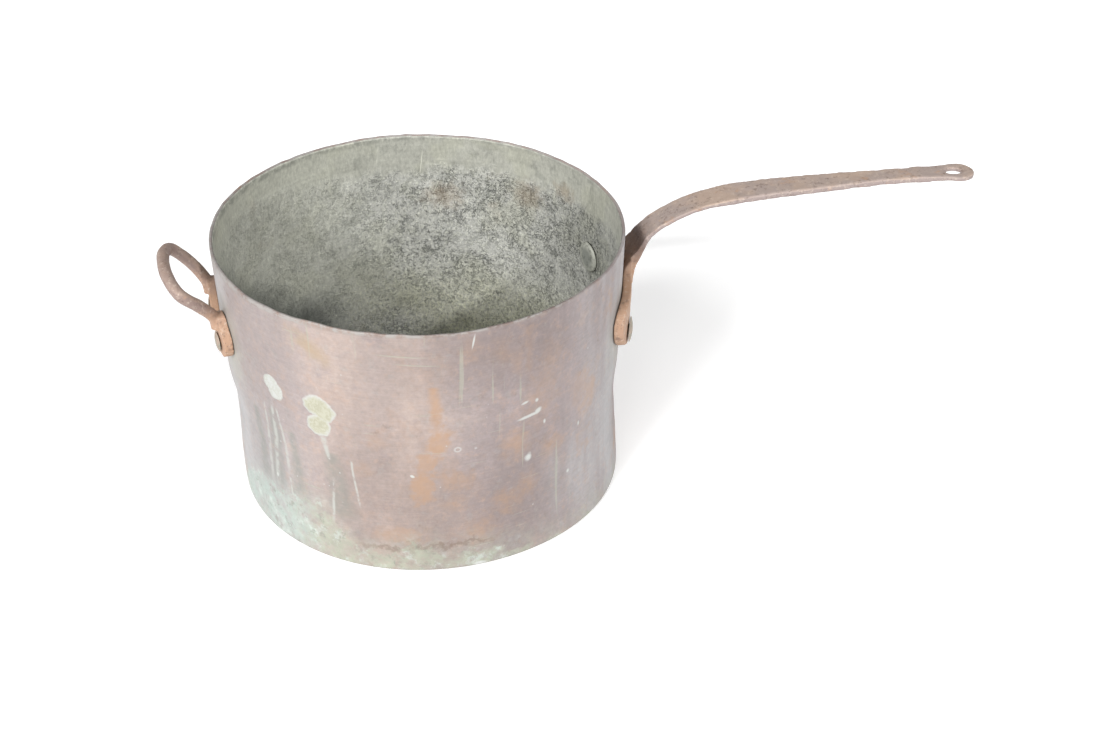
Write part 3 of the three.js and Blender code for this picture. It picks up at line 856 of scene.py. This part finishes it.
def tin_look():
    """Old wiped tin: etched below a ragged tide line. Low on one side it carries a painted shadow of
    the rim, with painted light on the wall above it; low on the other side it has pale flecks,
    lightened further with painted light.
    """
    look = WallLook("old_wiped_tin", FRONT + math.pi)
    blotch = look.noise(34, 5, 0.66)
    crevice, grain, coarse = pitted(look)
    near = look.step(look.math("ABSOLUTE", look.u), 455, 300)   # 1 ahead, 0 where u wraps
    tide = look.scaled(look.noise(16, 4, 0.6), 34, 158)
    tide = look.add(tide, look.times(look.step(look.u, 40, 190, 12.0), near))
    tide = look.scaled(look.ragged, 22, tide)
    pitting = look.step(look.math("SUBTRACT", tide, look.v), -7, 9)
    side = look.scaled(look.times(look.step(look.u, 120, -30), near), 0.3, 0.7)
    field = look.step(look.scaled(look.noise(58, 4, 0.65), 0.6, blotch), 0.62, 0.84)
    strong = look.times(pitting, look.times(side, look.scaled(field, 0.6, 0.4)))
    color = look.mix(look.scaled(pitting, -0.9, 1.0), TIN_MID, TIN_BAND)
    color = look.mix(look.step(blotch, 0.5, 0.68, 0.5), color, TIN_BAND)
    color = look.mix(look.step(look.noise(75, 5, 0.7), 0.48, 0.36, 0.3), color, TIN_DARK)
    olive = look.step(look.noise(24, 4, 0.6), 0.5, 0.62, 0.5)
    color = look.mix(olive, color, TIN_OLIVE)
    dark = look.times(look.most(crevice, look.step(coarse, 0.46, 0.34)), strong)
    color = look.mix(look.times(dark, 0.88), color, TIN_DARK)
    light = look.most(look.step(coarse, 0.53, 0.64), look.times(grain, 0.7))
    light = look.times(light, look.scaled(pitting, 0.75, 0.05))
    low = look.step(look.scaled(blotch, 60, look.v), 120, 70)
    low = look.times(low, look.times(look.step(look.u, 170, 90), near))
    color = look.mix(look.times(light, 0.7), color, look.mix(low, TIN_PALE, TIN_CREAM))
    brown = look.most(
        look.spot(-9, 152, 14, 9, 0, rag=2.6, soft=0.9),
        look.spot(-84, 163, 12, 9, 0, rag=2.6, soft=0.9),
        look.spot(-122, 178, 9, 6, 0, rag=2.6, soft=0.9),
        look.step(look.noise(19, 4, 0.6), 0.62, 0.74, 0.5),
    )
    color = look.mix(look.times(brown, 0.45), color, TIN_BROWN)
    around_rivet = look.spot(-163, 138, 26, 30, 0, rag=1.6, soft=0.7)
    around_rivet = look.times(around_rivet, look.step(coarse, 0.56, 0.44))
    color = look.mix(look.times(around_rivet, 0.5), color, TIN_DARK)
    slope = look.scaled(look.u, -0.62, look.v)
    slope = look.scaled(look.wander, 50, slope)
    # painted shadow: the rim's cast shadow, dark low on the left inside wall below a slanting line
    shade = look.times(look.step(look.u, 40, 130), look.step(slope, 34, -20))
    shade = look.times(shade, near)
    color = look.mix(look.times(shade, 0.9), color, TIN_DARK)
    # painted light: the left wall above the rim's painted shadow is lightened towards pale tin
    clean = look.times(look.step(look.u, 20, 120), look.step(slope, -20, 25))
    clean = look.times(clean, near)
    color = look.mix(look.times(clean, 0.4), color, TIN_PALE)
    right = look.times(look.step(look.u, -40, -130), look.times(pitting, near))
    color = look.dim(color, right, 0.2)
    # pale cream flecks low on the right, and painted light lifting the low wall there out of its shade
    silt = look.times(look.step(look.v, 105, 40), look.step(slope, 0, 40))
    silt = look.times(silt, near)
    silt = look.times(silt, look.scaled(look.step(coarse, 0.42, 0.6), 0.6, 0.4))
    color = look.mix(look.times(silt, 0.75), color, TIN_CREAM)
    color = look.vary(color, look.noise(520, 4, 0.75, at=look.stretch((1, 1, 0.45))), 0.5)
    color = look.vary(color, look.noise(80, 5, 0.72), 0.24)
    wiped = look.noise(1.0, 3, 0.6, at=look.stretch((24, 24, 500)))
    color = look.vary(color, wiped, 0.14)
    scratch = look.most(
        look.spot(9, 182, 0.5, 9, -8, rag=0.2, soft=0.5),
        look.spot(-2.5, 160, 0.5, 6, -25, rag=0.2, soft=0.5),
        look.step(look.noise(190, 2, 0.5, at=look.stretch((1, 1, 0.08))), 0.69, 0.74, 0.4),
    )
    color = look.mix(look.times(scratch, 0.6), color, TIN_PALE)
    lip = look.times(look.step(look.v, 199, 203), look.step(look.noise(150, 4, 0.7), 0.4, 0.6))
    color = look.mix(look.times(lip, 0.45), color, TIN_DARK)
    height = look.scaled(dark, -0.9, look.times(look.times(coarse, 1.6), strong))
    height = look.scaled(light, 0.4, height)
    height = look.scaled(scratch, -0.3, height)
    rough = look.scaled(look.noise(45, 4, 0.6), 0.25, 0.4)
    return look.set(color=color, rough=rough, metal=0.15, gloss=0.45,
                    normal=look.bump(height, 0.5 * MM))


# ---- iron and rivets -----------------------------------------------------------------------
IRON_TOP = tone(160, 142, 129)
IRON_TOP_GREY = tone(150, 137, 131)
IRON_RUBBED = tone(180, 166, 152)
IRON_SIDE = tone(134, 122, 119)
# painted shade: the iron's colour where it faces sideways or down
IRON_ORANGE = tone(160, 128, 104)
IRON_DARK = tone(84, 69, 62)
IRON_BROWN = tone(122, 98, 86)
# painted shadow: the dark colour laid into the crook beside the pan, where the pan's rim shades the
# neck
IRON_GRIME = tone(74, 57, 50)
RIVET_WARM = tone(146, 130, 116)
RIVET_GREY = tone(128, 126, 114)
RIVET_DARK = tone(92, 80, 70)
RIVET_WORN = tone(168, 158, 144)
HEAD_TIN = tone(116, 118, 112)
HEAD_EDGE = tone(146, 147, 138)
HEAD_PIT = tone(74, 75, 70)


def upness(look):
    """1 where the surface faces up, 0 where it faces sideways or down."""
    split = look.tree.nodes.new("ShaderNodeSeparateXYZ")
    coords = look.tree.nodes.new("ShaderNodeTexCoord")
    look.put(split.inputs[0], coords.outputs["Normal"])
    return look.step(split.outputs[2], 0.25, 0.8)


def iron_look(name, foot_top, foot_start, depth=0.0, grime=0.0):
    """Rust-brown forged iron, dark in its pits, with painted light and shade: lighter on top where it
    faces up and darker on its sides. It turns orange from `foot_start` down to `foot_top`, both in mm
    above the base. `depth` deepens the brown; the last argument sets how dark a painted shadow of
    the pan's rim lies in the crook beside the pan."""
    look = Look(name)
    split = look.tree.nodes.new("ShaderNodeSeparateXYZ")
    look.put(split.inputs[0], look.point)
    cloud = look.step(look.noise(30, 5, 0.65), 0.38, 0.62)
    color = look.mix(cloud, IRON_TOP, IRON_TOP_GREY)
    # painted light and shade: the iron is lighter where it faces up and darker where it faces sideways
    # or down
    up = look.scaled(look.noise(80, 4, 0.65), 0.5, upness(look))
    color = look.mix(look.step(up, 0.85, 0.3), color, IRON_SIDE)
    color = look.mix(depth, color, IRON_BROWN)
    down = look.times(split.outputs[2], -1 / MM)
    foot = look.scaled(look.noise(50, 4, 0.65), 40, down)
    foot = look.step(foot, -foot_start + 20, -foot_top + 20)
    color = look.mix(look.times(foot, 0.85), color, IRON_ORANGE)
    color = look.mix(look.step(look.noise(300, 5, 0.72), 0.52, 0.68, 0.5), color, IRON_RUBBED)
    color = look.mix(look.step(look.noise(190, 5, 0.7), 0.46, 0.32, 0.55), color, IRON_DARK)
    pit = look.step(look.cells(520), 0.3, 0.12)
    pit = look.times(pit, look.step(look.noise(90, 4), 0.46, 0.6))
    color = look.mix(look.times(pit, 0.5), color, IRON_DARK)
    rust = look.step(look.noise(64, 5, 0.7), 0.58, 0.7, 0.5)
    color = look.mix(rust, color, IRON_ORANGE)
    bright = look.step(look.noise(120, 5, 0.75), 0.6, 0.68)
    bright = look.times(bright, look.step(look.noise(24, 3), 0.5, 0.6))
    color = look.mix(look.times(bright, 0.6), color, IRON_RUBBED)
    # painted shadow: the crook beside the pan, on the neck's inner face below the rim, is darkened
    # where the pan's rim shades it
    crook = look.scaled(look.noise(140, 4, 0.6), 0.004, split.outputs[0])
    crook = look.times(look.step(crook, 0.1700, 0.1672), look.step(split.outputs[2], 0.160, 0.176))
    color = look.mix(look.times(crook, grime), color, IRON_GRIME)
    height = look.add(look.noise(420, 5, 0.7), look.times(look.noise(120, 4, 0.6), 0.9))
    height = look.scaled(pit, -0.5, height)
    rough = look.scaled(look.noise(80, 4), 0.25, 0.5)
    return look.set(color=color, rough=rough, metal=0.1, gloss=0.35,
                    normal=look.bump(height, 0.3 * MM))


def rivet_look(name, centre):
    """Dull copper outside; inside the pan the head is tinned, with a pale worn edge."""
    look = Look(name)
    color = look.mix(look.step(look.noise(170, 4, 0.6), 0.38, 0.62), RIVET_WARM, RIVET_GREY)
    color = look.mix(look.step(look.noise(420, 4, 0.65), 0.52, 0.68, 0.5), color, RIVET_DARK)
    color = look.mix(look.step(look.noise(300, 4, 0.7), 0.56, 0.68, 0.6), color, RIVET_WORN)
    split = look.tree.nodes.new("ShaderNodeSeparateXYZ")
    look.put(split.inputs[0], look.point)
    x, y, _ = split.outputs
    out = look.math("SQRT", look.add(look.times(x, x), look.times(y, y)))
    inside = look.step(out, RIM_RADIUS - 1.0 * MM, RIM_RADIUS - 2.0 * MM)
    gap = look.tree.nodes.new("ShaderNodeVectorMath")
    gap.operation = "DISTANCE"
    look.put(gap.inputs[0], look.point)
    gap.inputs[1].default_value = centre
    away = look.times(gap.outputs["Value"], 1 / MM)
    away = look.scaled(look.noise(160, 4, 0.65), 4, away)
    tinned = look.mix(look.step(away, 7, 12.5), HEAD_TIN, HEAD_EDGE)
    tinned = look.mix(look.step(look.noise(240, 5, 0.7), 0.5, 0.36, 0.6), tinned, HEAD_PIT)
    color = look.mix(inside, color, tinned)
    height = look.add(look.noise(500, 4, 0.6), look.noise(160, 3))
    rough = look.scaled(look.noise(200, 3), 0.25, 0.42)
    return look.set(color=color, rough=rough, metal=0.15, gloss=0.4,
                    normal=look.bump(height, 0.35 * MM))


PAPER = tone(243, 243, 243, 1.0)
PAPER_BRIGHT = tone(246, 246, 246, 1.0)
PAPER_GLOW = 0.28


def floor_look():
    """Pale paper with a little light of its own, as if lit from behind, so shadows stay faint."""
    look = Look("pale_paper")
    color = look.mix(look.step(look.noise(3, 3), 0.3, 0.7), PAPER, PAPER_BRIGHT)
    look.shader.inputs["Emission Color"].default_value = (1, 1, 1, 1)
    look.shader.inputs["Emission Strength"].default_value = PAPER_GLOW
    return look.set(color=color, rough=0.9, gloss=0.1)


# ---- assembly --------------------------------------------------------------------------------
def settle(piece, node, material):
    piece.data.materials.clear()
    piece.data.materials.append(material)
    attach(piece, "root")
    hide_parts(node)


def build_pan():
    settle(make_side(), "pan_wall", copper_look())
    settle(make_base(), "pan_base", base_look())
    settle(make_lining(), "tin_lining", tin_look())


def build_handles():
    main = forged("iron_main_handle", "main_handle", voxel=0.9 * MM, rounds=4, marks=0.16 * MM,
                  seed=41, shape=sprung_neck, stout=0.55 * MM)
    # the main handle's iron gets a painted shadow in the crook beside the pan
    iron = iron_look("rusted_iron", foot_top=158, foot_start=186, depth=0.08, grime=0.42)
    settle(main, "main_handle", iron)
    helper = forged("iron_helper_handle", "helper_handle", voxel=0.6 * MM, rounds=5,
                    marks=0.14 * MM, seed=47)
    iron = iron_look("rusted_iron_helper", foot_top=156, foot_start=186, depth=0.5)
    settle(helper, "helper_handle", iron)


def build_rivets():
    """Sizes are the outer head's (radius, rise), the inner head's, and the shank's radius."""
    main = ((10 * MM, 2 * MM), (12.5 * MM, 2.4 * MM), 4 * MM)
    helper = ((7.6 * MM, 1.6 * MM), (8.5 * MM, 2 * MM), 3.2 * MM)
    for name, node, azimuth, sizes, seed in (
        ("copper_rivet_main_near", "main_rivet_near", -MAIN_RIVETS, main, 61),
        ("copper_rivet_main_far", "main_rivet_far", MAIN_RIVETS, main, 62),
        ("copper_rivet_helper_near", "helper_rivet_near", HELPER_FOOT + HELPER_RIVETS, helper, 63),
        ("copper_rivet_helper_far", "helper_rivet_far", HELPER_FOOT - HELPER_RIVETS, helper, 64),
    ):
        low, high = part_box(node)
        turn = math.radians(azimuth)
        inner = rivet_ends(node, turn)[0]
        centre = (inner * math.cos(turn), inner * math.sin(turn), (low.z + high.z) / 2)
        look = rivet_look(name.replace("copper_rivet", "rivet_face"), centre)
        settle(rivet(name, node, azimuth, *sizes, seed), node, look)


# ---- stage -------------------------------------------------------------------------------------
FLOOR_REACH = 40.0
FLOOR_DROP = 0.2 * MM


def build_floor():
    far = FLOOR_REACH
    corners = [(-far, -far, 0), (far, -far, 0), (far, far, 0), (-far, far, 0)]
    floor = add_mesh("floor", corners, [(0, 1, 2, 3)])
    floor.location.z = -FLOOR_DROP
    floor.data.materials.append(floor_look())


def add_sun(name, azimuth, elevation, strength, spread):
    """A large soft light far off; azimuth is where it stands, seen from the pan."""
    data = bpy.data.lights.new(name, "SUN")
    data.energy = strength
    data.angle = math.radians(spread)
    lamp = bpy.data.objects.new(name, data)
    a, e = math.radians(azimuth), math.radians(elevation)
    toward = Vector((math.cos(a) * math.cos(e), math.sin(a) * math.cos(e), math.sin(e)))
    lamp.rotation_euler = toward.to_track_quat("Z", "Y").to_euler()
    bpy.context.scene.collection.objects.link(lamp)


def build_light():
    add_sun("front_left", -126.7, 28, 1.25, 9)
    add_sun("left", 198.5, 27, 0.9, 8)
    add_sun("front", -114.5, 25, 0.6, 12)
    add_sun("front_right", -73.2, 34, 1.4, 2.5)
    add_sun("right", -18, 36, 0.75, 25)
    add_sun("high_left", -145, 44, 0.9, 16)
    world = bpy.data.worlds.new("studio")
    world.use_nodes = True
    world.node_tree.nodes["Background"].inputs[0].default_value = (1, 1, 1, 1)
    world.node_tree.nodes["Background"].inputs[1].default_value = 0.2
    bpy.context.scene.world = world


def build_camera():
    data = bpy.data.cameras.new("view")
    data.lens = 54.0
    data.sensor_width = 36.0
    camera = bpy.data.objects.new("view", data)
    camera.location = (-0.0979, -1.0506, 0.7863)
    camera.rotation_euler = (math.radians(56.11), 0, math.radians(-10.5))
    bpy.context.scene.collection.objects.link(camera)
    bpy.context.scene.camera = camera


build_pan()
build_handles()
build_rivets()
build_floor()
build_light()
build_camera()
bpy.context.scene.view_settings.view_transform = "Standard"
